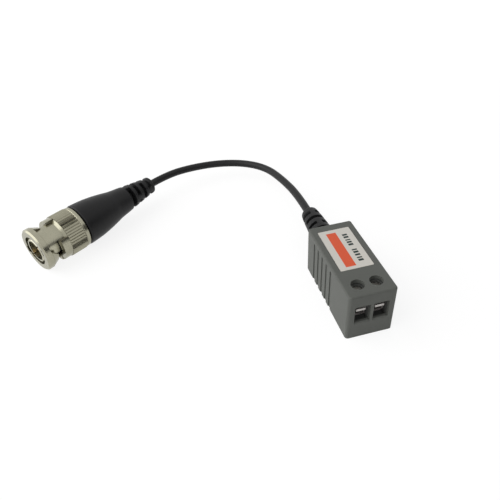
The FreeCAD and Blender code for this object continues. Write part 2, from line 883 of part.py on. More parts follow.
def bayonet_slot(turn_deg):
    """One bayonet slot: entry notch, mouth, shallow helical run and detent."""
    inner = nut_bore_radius - sunk
    reach = nut_outer_radius + past - inner
    half = slot_run_width / 2
    run_z = from_nut_front(slot_run_centre)
    mouth_top = from_nut_front(nut_flange_width)
    outline = [V(inner, slot_mouth_half, mouth_top), V(inner, slot_mouth_half, run_z - half),
               V(inner, -slot_mouth_half, run_z - half), V(inner, -slot_mouth_half, run_z + half),
               V(inner, slot_ramp_top, mouth_top)]
    mouth = Part.Face(Part.makePolygon(outline + outline[:1])).extrude(V(reach, 0, 0))
    pitch = slot_run_advance * 360 / slot_run_sweep_deg
    helix = Part.Wire(Part.makeHelix(pitch, slot_run_advance, nut_waist_radius).Edges)
    corners = [V(inner, 0, -half), V(inner + reach, 0, -half),
               V(inner + reach, 0, half), V(inner, 0, half)]
    section = Part.makePolygon(corners + corners[:1])
    run = helix.makePipeShell([section], True, True)
    run.translate(V(0, 0, run_z - slot_run_advance))
    detent_z = run_z - slot_run_advance + detent_dip
    detent = Part.makeCylinder(detent_radius, reach, V(inner, 0, detent_z), V(1, 0, 0))
    notch = block(inner, bayonet_notch_radius, slot_mouth_half - bayonet_notch_width,
                  slot_mouth_half, mouth_top - past, nut_front + past)
    for piece in (run, detent):
        piece.rotate(V(0, 0, 0), V(0, 0, 1), -slot_run_sweep_deg)
    slot = [mouth, run, detent, notch]
    for piece in slot:
        piece.rotate(V(0, 0, 0), V(0, 0, 1), turn_deg)
    return slot


def knurled_band():
    """Straight ridges round the nut."""
    high, low = from_nut_front(knurl_start), from_nut_front(knurl_start + knurl_length)
    points = []
    for index in range(2 * knurl_ridges):
        radius = nut_outer_radius - knurl_depth * (index % 2)
        angle = math.pi * index / knurl_ridges
        points.append(V(radius * math.cos(angle), radius * math.sin(angle), low))
    return Part.Face(Part.makePolygon(points + points[:1])).extrude(V(0, 0, high - low))


def slot_lobes(start_deg):
    """The raised land behind a slot and the pad that falls away in front of it."""
    root = nut_waist_radius - sunk
    rear, front = from_nut_front(knurl_start), from_nut_front(nut_flange_width)
    edge = slot_run_width / 2 + slot_land
    behind = from_nut_front(slot_run_centre) - edge
    ahead = from_nut_front(slot_run_centre) + edge
    land = [(root, rear), (lobe_radius, rear), (lobe_radius, behind), (root, behind)]
    pad = [(root, ahead), (pad_end_radius, ahead), (pad_radius, front - pad_flat),
           (pad_radius, front + sunk), (root, front + sunk)]
    return [sector(profile, start_deg, lobe_sweep_deg) for profile in (land, pad)]


def make_coupling_nut():
    """Knurled bayonet nut with two ramped slots between its raised lands."""
    root = nut_outer_radius - knurl_depth - knurl_shoulder
    rear = from_nut_front(nut_length)
    knurl_high = from_nut_front(knurl_start)
    knurl_low = from_nut_front(knurl_start + knurl_length)
    flange_low = from_nut_front(nut_flange_width)
    nut = turned([(0, rear), (nut_rear_radius - nut_rear_edge, rear),
                  (nut_rear_radius, rear + nut_rear_edge),
                  (nut_rear_radius, knurl_low - knurl_relief), (root, knurl_low),
                  (root, knurl_high), (nut_waist_radius, knurl_high + root - nut_waist_radius),
                  (nut_waist_radius, flange_low), (nut_outer_radius, flange_low),
                  (nut_outer_radius, nut_front - nut_edge),
                  (nut_outer_radius - nut_edge, nut_front), (0, nut_front)])
    nut = nut.fuse(knurled_band())
    chamber_top = nut_rear + nut_chamber_depth
    groove = ring(nut_chamber_radius - sunk, nut_chamber_radius + ring_bite + ring_groove_depth_gap,
                  ring_low - ring_groove_side_gap, ring_low + ring_thickness + ring_groove_side_gap)
    cuts = [rod(nut_bore_radius, chamber_top - past, nut_front + past),
            rod(nut_chamber_radius, rear - past, chamber_top), groove]
    for half_turn in (0, 180):
        for lobe in slot_lobes(lobe_start_deg + half_turn):
            nut = nut.fuse(lobe)
        cuts += bayonet_slot(slot_mouth_deg + half_turn)
    for hole in cuts:
        nut = nut.cut(hole)
    return nut.Solids[0]


def build_parts():
    """Every piece of the balun, by node name."""
    parts = {
        "housing": make_housing(),
        "bottom_cover": make_bottom_cover(),
        "top_label": make_top_label(),
        "bottom_label": make_bottom_label(),
        "terminal_block": make_terminal_block(),
        "circuit_board": make_circuit_board(),
        "ferrite_core": make_ferrite_core(),
        "surge_diode": make_chip(0, diode_y, diode_length, diode_width, diode_height),
        "filter_capacitor": make_chip(-chip_x, chip_y, chip_length, chip_width, capacitor_height),
        "load_resistor": make_chip(chip_x, chip_y, chip_length, chip_width, resistor_height),
        "cable_relief": make_cable_relief(),
        "lead_box_end": make_lead_box_end(),
        "lead": make_lead(),
    }
    for name, side in (("left", -1), ("right", 1)):
        parts["contact_bar_" + name] = make_contact_bar(side)
        parts["clamp_cage_" + name] = make_clamp_cage(side)
        parts["terminal_screw_" + name] = make_terminal_screw(side)
        parts["winding_" + name] = make_winding(side)
    plug = {
        "plug_boot": make_plug_boot(),
        "lead_plug_end": make_lead_plug_end(),
        "crimp_ferrule": make_crimp_ferrule(),
        "plug_body": make_plug_body(),
        "contact_sleeve": make_contact_sleeve(),
        "plug_insulator": make_plug_insulator(),
        "centre_pin": make_centre_pin(),
        "plug_gasket": make_plug_gasket(),
        "spring_washer": make_spring_washer(),
        "thrust_washer": make_thrust_washer(),
        "retaining_ring": make_retaining_ring(),
        "coupling_nut": make_coupling_nut(),
    }
    for name, shape in plug.items():
        parts[name] = on_plug(shape)
    return parts


os.makedirs("parts", exist_ok=True)
for node, shape in build_parts().items():
    shape.exportStep("parts/" + node + ".step")
    print(node, len(shape.Solids), round(shape.Volume, 2), shape.isValid())
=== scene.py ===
import json
import math

import bpy
from mathutils import Matrix, Vector


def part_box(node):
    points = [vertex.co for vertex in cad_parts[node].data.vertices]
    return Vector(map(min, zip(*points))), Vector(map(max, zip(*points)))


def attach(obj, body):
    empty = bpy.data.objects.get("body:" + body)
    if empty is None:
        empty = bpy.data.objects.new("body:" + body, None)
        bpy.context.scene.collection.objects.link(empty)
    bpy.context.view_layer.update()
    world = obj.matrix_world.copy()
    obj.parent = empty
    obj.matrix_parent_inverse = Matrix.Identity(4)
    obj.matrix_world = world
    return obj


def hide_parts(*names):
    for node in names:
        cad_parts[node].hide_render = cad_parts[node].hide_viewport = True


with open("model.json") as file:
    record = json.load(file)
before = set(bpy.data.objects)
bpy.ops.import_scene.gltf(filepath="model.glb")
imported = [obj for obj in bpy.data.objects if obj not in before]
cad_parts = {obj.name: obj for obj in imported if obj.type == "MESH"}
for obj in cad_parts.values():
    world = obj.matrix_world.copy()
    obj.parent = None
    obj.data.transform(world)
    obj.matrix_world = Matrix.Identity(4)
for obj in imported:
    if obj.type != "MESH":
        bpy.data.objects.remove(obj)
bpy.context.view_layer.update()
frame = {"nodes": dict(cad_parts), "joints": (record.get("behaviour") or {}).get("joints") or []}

bl_info = {
    "name": "Video balun",
    "version": (1, 0, 0),
    "blender": (4, 5, 0),
    "location": "3D View > Sidebar > Balun",
    "description": "Dresses the packed video balun: finishes, lead, mouldings and stage",
    "category": "Object",
}

MM = 0.001
UP = Vector((0, 0, 1))
ROOT = "balun"
SCENE_MIDDLE = Vector((-0.03, 0.03, 0))
ROOM_LIGHT = 0.42
PRINT_EDGE = 0.10 * MM

# Colours that stay as they are: painted shade for metal's hollows, terminals, board, plug's inside
# and stage
# Painted shade: the dark brown laid into plated metal where its hollows are shaded
HOLLOW_SHADE = (0.085, 0.070, 0.045, 1)
TIN = (0.52, 0.50, 0.48, 1)
ZINC = (0.42, 0.39, 0.38, 1)
SCREW_STEEL = (0.50, 0.48, 0.44, 1)
FERRITE = (0.022, 0.022, 0.024, 1)
COPPER = (0.62, 0.20, 0.07, 1)
DIODE = (0.012, 0.012, 0.013, 1)
CAPACITOR = (0.42, 0.26, 0.12, 1)
RESISTOR = (0.014, 0.014, 0.016, 1)
SOLDER_MASK = ((0.008, 0.075, 0.028, 1), (0.012, 0.10, 0.036, 1))
TRACKS = (0.03, 0.19, 0.07, 1)
SOLDERED_END = (0.62, 0.62, 0.60, 1)
SPRING_STEEL = (0.42, 0.42, 0.43, 1)
INSULATOR = (0.62, 0.58, 0.48, 1)
GASKET = (0.30, 0.035, 0.02, 1)
FLOOR_COLOURS = ((0.92, 0.92, 0.92, 1), (0.95, 0.95, 0.95, 1))
CARD_COLOURS = ((0.02, 0.02, 0.02, 1), (0.03, 0.03, 0.03, 1))

# The photograph's viewpoint: where the camera stands and its three directions
CAMERA_PLACE = (-45.904 * MM, -91.270 * MM, 101.224 * MM)
CAMERA_RIGHT = (0.966742, -0.249005, -0.058363)
CAMERA_DOWN = (-0.202881, -0.607710, -0.767807)
CAMERA_AHEAD = (0.155720, 0.754112, -0.638017)
CAMERA_LENS = 35.354
CAMERA_SENSOR = 36.0

# Soft lamps as (name, place, width, power), and dark cards as (name, place, half width)
LAMPS = (
    ("key", (-0.95, 0.12, 0.66), 1.5, 11.5),
    ("fill", (-0.10, -0.90, 0.55), 0.6, 1.5),
)
DARK_CARDS = (
    ("dark_card_front", (0.10, -0.75, 0.12), 0.40),
    ("dark_card_right", (0.64, -0.38, 0.22), 0.38),
)
# The floor where it is seen: its own white, and how much lamplight and shadow show on it.
# Past a distance it turns plain white over a width.
FLOOR_LIFT = 0.84
FLOOR_SHADE = 0.22
FLOOR_NEAR = 0.12
FLOOR_FADE = 0.4

# Route of the free lead between its ends, from the relief to the plug
LEAD_ROUTE = [
    (0.0, 31.4, 7.4),
    (0.0, 42.7, 7.4),
    (-1.7, 55.1, 6.8),
    (-4.5, 66.2, 6.0),
    (-10.9, 73.7, 5.4),
    (-20.4, 77.1, 5.5),
    (-31.1, 76.2, 6.3),
    (-41.4, 72.6, 7.2),
    (-48.4, 67.7, 7.2),
]
LEAD_RADIUS = 1.3 * MM

# Print on the top label: margins round the bar, its width, and the marks' row
BAR_SIDE = 1.95 * MM
BAR_WIDTH = 2.85 * MM
BAR_FRONT = 1.1 * MM
BAR_BACK = 1.4 * MM
ROW_SIDE = 2.45 * MM
ROW_FRONT = 2.4 * MM

# Print on the bottom label: the band at its back, the strip before it, and the marks' row
BAND_WIDTH = 6.4 * MM
STRIP_LEFT = -2.6 * MM
STRIP_WIDTH = 2.6 * MM
STRIP_GAP = 1.8 * MM
STRIP_FRONT = 3.2 * MM
UNDER_ROW_X = 1.6 * MM
UNDER_ROW_START = 1.0 * MM

# A printed line's marks: half their width, their pitch, and each one's share of the pitch
MARK_HALF_WIDTH = 0.72 * MM
MARK_PITCH = 1.12 * MM
MARK_SHARES = (0.70, 0.46, 0.64, 0.70, 0.50, 0.0, 0.70, 0.62, 0.42, 0.70, 0.62)

# Strain relief along its axis from the box's back wall, as (radius, place)
RELIEF_SKIN = [
    (3.4, -2.4), (3.4, -1.4), (2.6, -1.4), (2.6, 0.0), (4.05, 0.0), (4.2, 0.15),
    (4.2, 1.25), (4.1, 1.4), (3.8, 1.45), (3.66, 3.8), (2.95, 14.1), (2.7, 16.1),
    (2.6, 16.35), (2.35, 16.5),
]
# Its ribs as (start, end, count, a gap's share of the pitch), the radius at the gaps'
# bottom and the width of the webs that bridge them
RELIEF_RIBS = (3.8, 14.1, 3, 0.4)
RELIEF_CORE = 1.95
RELIEF_WEB = 1.8

# Plug's boot along its axis from its tail, as (radius, place)
BOOT_SKIN = [
    (2.45, 0.0), (2.75, 0.1), (2.95, 0.3), (3.0, 0.5), (3.05, 1.6), (4.3, 10.7),
    (4.6, 12.6), (4.9, 15.0), (5.15, 16.6), (5.6, 18.4), (6.1, 20.8), (6.5, 23.0),
    (6.83, 25.4), (7.03, 28.0), (7.12, 30.3), (7.06, 30.6), (6.85, 30.8),
]
BOOT_HOLLOW = [
    (4.9, 30.8), (4.9, 28.0), (3.6, 28.0), (3.6, 25.0), (2.2, 25.0), (2.2, 16.2),
    (1.3, 16.2), (1.3, 0.0),
]
BOOT_RIBS = (1.6, 10.7, 3, 0.48)
BOOT_CORE = 2.1
BOOT_WEB = 2.0

# The plug's axis comes from the joint that its nut turns on
nut_joint = next(j for j in frame["joints"] if j["name"] == "nut_turn")
plug_axis = Vector(nut_joint["axis"]).normalized()
plug_tail = Vector(LEAD_ROUTE[-1]) * MM

box_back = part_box("housing")[1].y
lead_height = LEAD_ROUTE[0][2] * MM


class Term:
    """A number in a node tree, on which Python's arithmetic adds Math nodes."""

    def __init__(self, graph, socket):
        self.graph = graph
        self.socket = socket

    def apply(self, operation, first, second):
        node = self.graph.node("ShaderNodeMath", {"operation": operation}, {0: first, 1: second})
        return Term(self.graph, node.outputs[0])

    def __add__(self, other):
        return self.apply("ADD", self, other)

    def __radd__(self, other):
        return self.apply("ADD", other, self)

    def __sub__(self, other):
        return self.apply("SUBTRACT", self, other)

    def __rsub__(self, other):
        return self.apply("SUBTRACT", other, self)

    def __mul__(self, other):
        return self.apply("MULTIPLY", self, other)

    def __rmul__(self, other):
        return self.apply("MULTIPLY", other, self)

    def __truediv__(self, other):
        return self.apply("DIVIDE", self, other)

    def __rtruediv__(self, other):
        return self.apply("DIVIDE", other, self)

    def __abs__(self):
        return self.apply("ABSOLUTE", self, 0.0)

    def smallest(self, other):
        return self.apply("MINIMUM", self, other)

    def largest(self, other):
        return self.apply("MAXIMUM", self, other)

    def held(self):
        """The number held between 0 and 1."""
        return self.smallest(1.0).largest(0.0)


class Graph:
    """A node tree being put together."""

    def __init__(self, tree):
        self.tree = tree
        tree.nodes.clear()

    def node(self, kind, settings=None, sockets=None):
        """A node of a kind, with its settings and what its sockets hold or are linked to."""
        node = self.tree.nodes.new(kind)
        for key, value in (settings or {}).items():
            setattr(node, key, value)
        for key, value in (sockets or {}).items():
            self.fill(node.inputs[key], value)
        return node

    def fill(self, socket, value):
        """Links a socket to a number or vector of this tree, or sets it."""
        if isinstance(value, Term):
            value = value.socket
        if isinstance(value, bpy.types.NodeSocket):
            self.tree.links.new(value, socket)
        else:
            socket.default_value = value

    def seen(self):
        """1 for rays that show the background: from the camera, mirrored or through glass."""
        rays = self.node("ShaderNodeLightPath")
        shown = Term(self, rays.outputs["Is Camera Ray"])
        for ray in ("Is Glossy Ray", "Is Transmission Ray"):
            shown = shown.largest(Term(self, rays.outputs[ray]))
        return shown


class Finish(Graph):
    """A procedural material being put together."""

    def __init__(self, name):
        self.material = bpy.data.materials.new(name)
        self.material.use_nodes = True
        super().__init__(self.material.node_tree)
        self.surface = self.node("ShaderNodeBsdfPrincipled")
        self.node("ShaderNodeOutputMaterial", None, {"Surface": self.surface.outputs[0]})

    def set(self, **named):
        """Sets or links the sockets of the surface shader."""
        for key, value in named.items():
            self.fill(self.surface.inputs[key.replace("_", " ")], value)

    def place(self):
        """The point on the piece, in metres, moving with the piece."""
        return self.node("ShaderNodeTexCoord").outputs["Object"]

    def parts(self, vector):
        """The three numbers of a vector."""
        node = self.node("ShaderNodeSeparateXYZ", None, {0: vector})
        return [Term(self, output) for output in node.outputs]

    def joined(self, x, y, z):
        """A vector from three numbers."""
        return self.node("ShaderNodeCombineXYZ", None, {0: x, 1: y, 2: z}).outputs[0]

    def along(self, vector, origin, direction):
        """How far a point lies from an origin along a direction."""
        moved = self.node("ShaderNodeVectorMath", {"operation": "SUBTRACT"},
                          {0: vector, 1: tuple(origin)})
        dot = self.node("ShaderNodeVectorMath", {"operation": "DOT_PRODUCT"},
                        {0: moved.outputs[0], 1: tuple(direction)})
        return Term(self, dot.outputs["Value"])

    def noise(self, vector, size, detail=3.0, roughness=0.55):
        """Soft noise with grains of about a given size in metres, from 0 to 1."""
        node = self.node("ShaderNodeTexNoise", None,
                         {"Vector": vector, "Scale": 1 / size, "Detail": detail,
                          "Roughness": roughness})
        return Term(self, node.outputs[0])

    def cells(self, vector, size):
        """Distance to the middle of the nearest cell, from 0 to about 1."""
        node = self.node("ShaderNodeTexVoronoi", None, {"Vector": vector, "Scale": 1 / size})
        return Term(self, node.outputs["Distance"])

    def mixed(self, factor, first, second):
        """A colour between two colours."""
        node = self.node("ShaderNodeMix", {"data_type": "RGBA"},
                         {"Factor": factor, "A": first, "B": second})
        return node.outputs["Result"]

    def bumped(self, height, distance):
        """A normal raised by a height from 0 to 1, over a distance in metres."""
        node = self.node("ShaderNodeBump", None, {"Distance": distance, "Height": height})
        return node.outputs[0]


def shade(colour, factor):
    """A colour made lighter or darker."""
    return tuple(min(1.0, channel * factor) for channel in colour[:3]) + (1.0,)


def inside(value, low, high, soft):
    """A mask that is 1 between two values, with soft edges."""
    return ((value - low) / soft + 0.5).held() * ((high - value) / soft + 0.5).held()


def moulded_plastic(name, colour, grain=0.16 * MM, depth=0.012 * MM, roughness=0.55):
    """Spark-eroded moulding: a fine even grain with slight cloudiness."""
    f = Finish(name)
    place = f.place()
    cloud = f.noise(place, 6 * MM, 4.0)
    fine = f.noise(place, grain, 2.0, 0.6)
    pits = f.cells(place, grain * 1.6)
    tone = (cloud - 0.5) * 0.5 + (fine - 0.5) * 0.5 + 0.5
    f.set(Base_Color=f.mixed(tone.held(), shade(colour, 0.90), shade(colour, 1.10)),
          Roughness=roughness + (fine - 0.5) * 0.16 + (cloud - 0.5) * 0.08,
          Specular_IOR_Level=0.18,
          Normal=f.bumped(fine * 0.6 + pits * 0.4, depth))
    return f.material


def rubber(name, colour, roughness=0.48):
    """Smooth flexible moulding with a faint satin bloom and fine scuffs."""
    f = Finish(name)
    place = f.place()
    cloud = f.noise(place, 5 * MM, 5.0, 0.6)
    skin = f.noise(place, 0.22 * MM, 3.0, 0.6)
    x, y, z = f.parts(place)
    scuff = f.noise(f.joined(x * 0.25, y * 0.25, z * 2.0), 0.9 * MM, 6.0, 0.7)
    worn = ((scuff - 0.62) * 6.0).held()
    base = f.mixed(cloud, shade(colour, 0.80), shade(colour, 1.25))
    f.set(Base_Color=f.mixed(worn * 0.35, base, shade(colour, 2.2)),
          Roughness=(roughness + (cloud - 0.5) * 0.18 + worn * 0.10).held(),
          Specular_IOR_Level=0.22,
          Normal=f.bumped(skin, 0.006 * MM))
    return f.material


def plated_metal(name, tint, roughness=0.24, axis=None, origin=(0, 0, 0), lines=0.05 * MM):
    """Plated metal: faint clouding, handling marks, painted shade in its hollows and, where it was
    turned, lathe lines.
    """
    f = Finish(name)
    place = f.place()
    cloud = f.noise(place, 3.2 * MM, 4.0, 0.6)
    grain = f.noise(place, 0.12 * MM, 2.0)
    height = grain * 0.3
    if axis is not None:
        run = f.along(place, origin, axis)
        height = height + f.noise(f.joined(run, 0.0, 0.0), lines, 2.0, 0.6) * 0.7
    marks = ((f.noise(place, 0.7 * MM, 6.0, 0.75) - 0.60) * 5.0).held()
    # Painted shade: where little open sky reaches, in hollows and between ridges, the colour turns
    # dark brown and the surface rougher
    open_sky = f.node("ShaderNodeAmbientOcclusion", {"samples": 6, "only_local": True},
                      {"Distance": 0.8 * MM})
    hollow_shade = ((0.95 - Term(f, open_sky.outputs["AO"])) * 1.4).held()
    tone = f.mixed(cloud, shade(tint, 0.80), shade(tint, 1.15))
    worn = f.mixed(marks * 0.35, tone, shade(tint, 0.55))
    f.set(Base_Color=f.mixed(hollow_shade, worn, HOLLOW_SHADE),
          Roughness=(roughness + (cloud - 0.5) * 0.14 + marks * 0.16 + hollow_shade * 0.2).held(),
          Metallic=1.0,
          Normal=f.bumped(height, 0.004 * MM))
    return f.material


def film(name, colour, layers):
    """Printed label film. layers are (ink colour, mask maker) pairs, laid in order."""
    f = Finish(name)
    place = f.place()
    x, y, _ = f.parts(place)
    fibre = f.noise(place, 0.35 * MM, 4.0, 0.6)
    cloud = f.noise(place, 4 * MM, 3.0)
    current = f.mixed(fibre * 0.6 + cloud * 0.4, shade(colour, 0.94), shade(colour, 1.04))
    inked = None
    for ink, mask_maker in layers:
        mask = mask_maker(x, y)
        current = f.mixed(mask, current, f.mixed(fibre, shade(ink, 0.90), shade(ink, 1.08)))
        inked = mask if inked is None else inked.largest(mask)
    f.set(Base_Color=current, Roughness=0.5 + (fibre - 0.5) * 0.12 - inked * 0.06,
          Specular_IOR_Level=0.15,
          Normal=f.bumped(fibre * 0.5 + inked * 0.5, 0.006 * MM))
    return f.material


def ease(value):
    """A smooth step from 0 to 1."""
    value = min(1.0, max(0.0, value))
    return value * value * (3 - 2 * value)


def gaps(start, end, ribs, share):
    """The gaps between the ribs of a ribbed stretch, as (start, width) pairs."""
    pitch = (end - start) / (ribs + share)
    return [(start + index * pitch, pitch * share) for index in range(ribs + 1)]


def divided(outline, step, fine, low, high):
    """An outline with points every step, closer together between two places."""
    rows = []
    for (r0, z0), (r1, z1) in zip(outline, outline[1:]):
        here = fine if z1 > low and z0 < high else step
        count = max(1, math.ceil(math.hypot(r1 - r0, z1 - z0) / here))
        for index in range(count):
            share = index / count
            rows.append((r0 + (r1 - r0) * share, z0 + (z1 - z0) * share))
    return rows + [outline[-1]]


def ribbed_sleeve(name, outer, inner, ribs, core, web, origin, axis):
    """A turned sleeve as one closed skin, its gaps bridged by webs that turn a quarter.

    Radii and places are in millimetres along the axis from the origin.
    """
    edge = 0.10
    columns = 128
    step, fine_step = 0.5, 0.08
    across = UP.cross(axis).normalized()
    upright = axis.cross(across)
    slots = gaps(*ribs)
    rows = divided(outer, step, fine_step, ribs[0], ribs[1]) + inner
    points = []
    for radius, z in rows:
        for column in range(columns):
            angle = 2 * math.pi * column / columns
            r = radius
            for index, (start, width) in enumerate(slots):
                depth = ease(min(z - start, start + width - z) / edge + 0.5)
                side = math.cos(angle) if index % 2 else math.sin(angle)
                depth *= ease((abs(side) * radius - web / 2) / (2 * edge) + 0.5)
                r -= max(0.0, r - core) * depth
            if radius < core:
                r = radius
            spoke = across * math.cos(angle) + upright * math.sin(angle)
            points.append(origin + (axis * z + spoke * r) * MM)
    faces = []
    for row in range(len(rows)):
        after = (row + 1) % len(rows)
        for column in range(columns):
            beside = (column + 1) % columns
            faces.append((row * columns + column, after * columns + column,
                          after * columns + beside, row * columns + beside))
    return mesh_piece(name, points, faces)


def mesh_piece(name, points, faces, smooth_angle=40):
    """A mesh object from points and faces, smooth but for its sharp edges."""
    mesh = bpy.data.meshes.new(name)
    mesh.from_pydata([tuple(p) for p in points], [], faces)
    mesh.update()
    for polygon in mesh.polygons:
        polygon.use_smooth = True
    mesh.set_sharp_from_angle(angle=math.radians(smooth_angle))
    piece = bpy.data.objects.new(name, mesh)
    bpy.context.scene.collection.objects.link(piece)
    return piece


def dress(nodes, material):
    """Gives CAD nodes a material."""
    for name in nodes:
        data = frame["nodes"][name].data
        data.materials.clear()
        data.materials.append(material)


def stand_in(piece, node, material):
    """Puts a piece in a CAD node's place, on the balun's body and in its material slot."""
    piece.data.materials.append(material)
    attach(piece, ROOT)
    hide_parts(node)


def soften(name, width):
    """Rounds a CAD node's sharp edges as seen, without touching its mesh."""
    bevel = frame["nodes"][name].modifiers.new("edges", "BEVEL")
    bevel.width = width
    bevel.segments = 2
    bevel.limit_method = "ANGLE"
    bevel.angle_limit = math.radians(35)
    bevel.harden_normals = True


class BalunColours(bpy.types.PropertyGroup):
    """Colours that a user may change."""

    box: bpy.props.FloatVectorProperty(
        name="Box", description="Moulded box and cover", subtype="COLOR", size=3,
        default=(0.119, 0.124, 0.113), min=0, max=1)
    block: bpy.props.FloatVectorProperty(
        name="Terminal block", description="Moulded block behind the windows",
        subtype="COLOR", size=3, default=(0.085, 0.088, 0.084), min=0, max=1)
    label: bpy.props.FloatVectorProperty(
        name="Label", description="Label film", subtype="COLOR", size=3,
        default=(0.70, 0.675, 0.620), min=0, max=1)
    accent: bpy.props.FloatVectorProperty(
        name="Bar", description="Printed bar on the labels", subtype="COLOR", size=3,
        default=(0.76, 0.122, 0.055), min=0, max=1)
    ink: bpy.props.FloatVectorProperty(
        name="Marks", description="Dark printed marks", subtype="COLOR", size=3,
        default=(0.030, 0.045, 0.042), min=0, max=1)
    black: bpy.props.FloatVectorProperty(
        name="Black", description="Lead, relief and boot", subtype="COLOR", size=3,
        default=(0.0105, 0.0106, 0.0112), min=0, max=1)
    nickel: bpy.props.FloatVectorProperty(
        name="Nickel", description="Plating of the plug", subtype="COLOR", size=3,
        default=(0.352, 0.340, 0.260), min=0, max=1)
    gold: bpy.props.FloatVectorProperty(
        name="Gold", description="Plating of the centre pin", subtype="COLOR", size=3,
        default=(0.75, 0.48, 0.16), min=0, max=1)


class BalunSizes(bpy.types.PropertyGroup):
    """Sizes that a user may change."""

    lead_diameter: bpy.props.FloatProperty(
        name="Lead diameter", description="Outside of the jacket", subtype="DISTANCE",
        default=2 * LEAD_RADIUS, min=1 * MM, max=5 * MM, precision=5)
    edge: bpy.props.FloatProperty(
        name="Moulded edge", description="Rounding of moulded edges", subtype="DISTANCE",
        default=0.12 * MM, min=0.0, max=0.5 * MM, precision=5)
    floor: bpy.props.FloatProperty(
        name="Floor", description="Width of the floor", subtype="DISTANCE",
        default=6.0, min=1.0, max=20.0)


def colours():
    """The user's colours by name, each as four numbers."""
    group = bpy.context.scene.balun_colours
    return {key: tuple(getattr(group, key)) + (1.0,) for key in group.bl_rna.properties.keys()
            if key not in ("rna_type", "name")}


def sizes():
    """The user's sizes."""
    return bpy.context.scene.balun_sizes


class BALUN_OT_stage(bpy.types.Operator):
    """Floor, light and the camera at the photograph's viewpoint"""

    bl_idname = "balun.stage"
    bl_label = "Stage"

    def execute(self, context):
        scene = context.scene
        scene.view_settings.view_transform = "Standard"
        self.add_floor()
        self.add_world(scene)
        for lamp in LAMPS:
            self.add_lamp(scene, *lamp)
        for card in DARK_CARDS:
            self.add_card(*card)
        self.add_camera(scene)
        return {"FINISHED"}

    def add_floor(self):
        half = sizes().floor / 2
        points = [(-half, -half, 0), (half, -half, 0), (half, half, 0), (-half, half, 0)]
        floor = mesh_piece("floor", points, [(0, 1, 2, 3)])
        f = Finish("pale_floor")
        place = f.place()
        cloud = f.noise(place, 0.08, 2.0)
        seen = f.seen()
        away = f.node("ShaderNodeVectorMath", {"operation": "LENGTH"}, {0: place})
        far = ((Term(f, away.outputs["Value"]) - FLOOR_NEAR) / FLOOR_FADE).held()
        glow = seen * (FLOOR_LIFT + far * (1 - FLOOR_LIFT))
        pale = f.mixed(cloud, *FLOOR_COLOURS)
        f.set(Base_Color=f.mixed(seen, pale, (FLOOR_SHADE, FLOOR_SHADE, FLOOR_SHADE, 1)),
              Roughness=0.8, Specular_IOR_Level=0.1,
              Emission_Color=f.joined(glow, glow, glow), Emission_Strength=1.0)
        floor.data.materials.append(f.material)

    def add_world(self, scene):
        world = bpy.data.worlds.new("studio")
        world.use_nodes = True
        graph = Graph(world.node_tree)
        background = graph.node("ShaderNodeBackground", None,
                                {"Color": (1, 1, 1, 1),
                                 "Strength": graph.seen() * (1 - ROOM_LIGHT) + ROOM_LIGHT})
        graph.node("ShaderNodeOutputWorld", None, {"Surface": background.outputs[0]})
        scene.world = world

    def add_lamp(self, scene, name, place, size, power):
        light = bpy.data.lights.new(name, "AREA")
        light.shape = "SQUARE"
        light.size = size
        light.energy = power
        lamp = bpy.data.objects.new(name, light)
        lamp.location = place
        aim = SCENE_MIDDLE - Vector(place)
        lamp.rotation_euler = aim.to_track_quat("-Z", "Y").to_euler()
        scene.collection.objects.link(lamp)

    def add_card(self, name, place, half):
        """A dark card out of view, which the metal mirrors as its dark side."""
        middle = Vector(place)
        facing = (SCENE_MIDDLE - middle).normalized()
        across = facing.cross(UP).normalized() * half
        upright = across.cross(facing).normalized() * half * 0.5
        points = [middle - across - upright, middle + across - upright,
                  middle + across + upright, middle - across + upright]
        card = mesh_piece(name, points, [(0, 1, 2, 3)])
        card.visible_camera = False
        f = Finish(name)
        weave = f.noise(f.place(), 0.01, 3.0)
        f.set(Base_Color=f.mixed(weave, *CARD_COLOURS),
              Roughness=0.9)
        card.data.materials.append(f.material)

    def add_camera(self, scene):
        data = bpy.data.cameras.new("camera")
        data.lens = CAMERA_LENS
        data.sensor_width = CAMERA_SENSOR
        data.clip_start = 1 * MM
        camera = bpy.data.objects.new("camera", data)
        right, down, ahead = (Vector(v) for v in (CAMERA_RIGHT, CAMERA_DOWN, CAMERA_AHEAD))
        turn = Matrix((right, -down, -ahead)).transposed().to_4x4()
        camera.matrix_world = Matrix.Translation(CAMERA_PLACE) @ turn
        scene.collection.objects.link(camera)
        scene.camera = camera


class BALUN_OT_box(bpy.types.Operator):
    """Finish of the box and its cover"""

    bl_idname = "balun.box"
    bl_label = "Box"

    def execute(self, context):
        grey = colours()["box"]
        dress(["housing"], moulded_plastic("box_plastic", grey))
        dress(["bottom_cover"], moulded_plastic("cover_plastic", grey, roughness=0.6))
        for name in ("housing", "bottom_cover"):
            soften(name, sizes().edge)
        return {"FINISHED"}


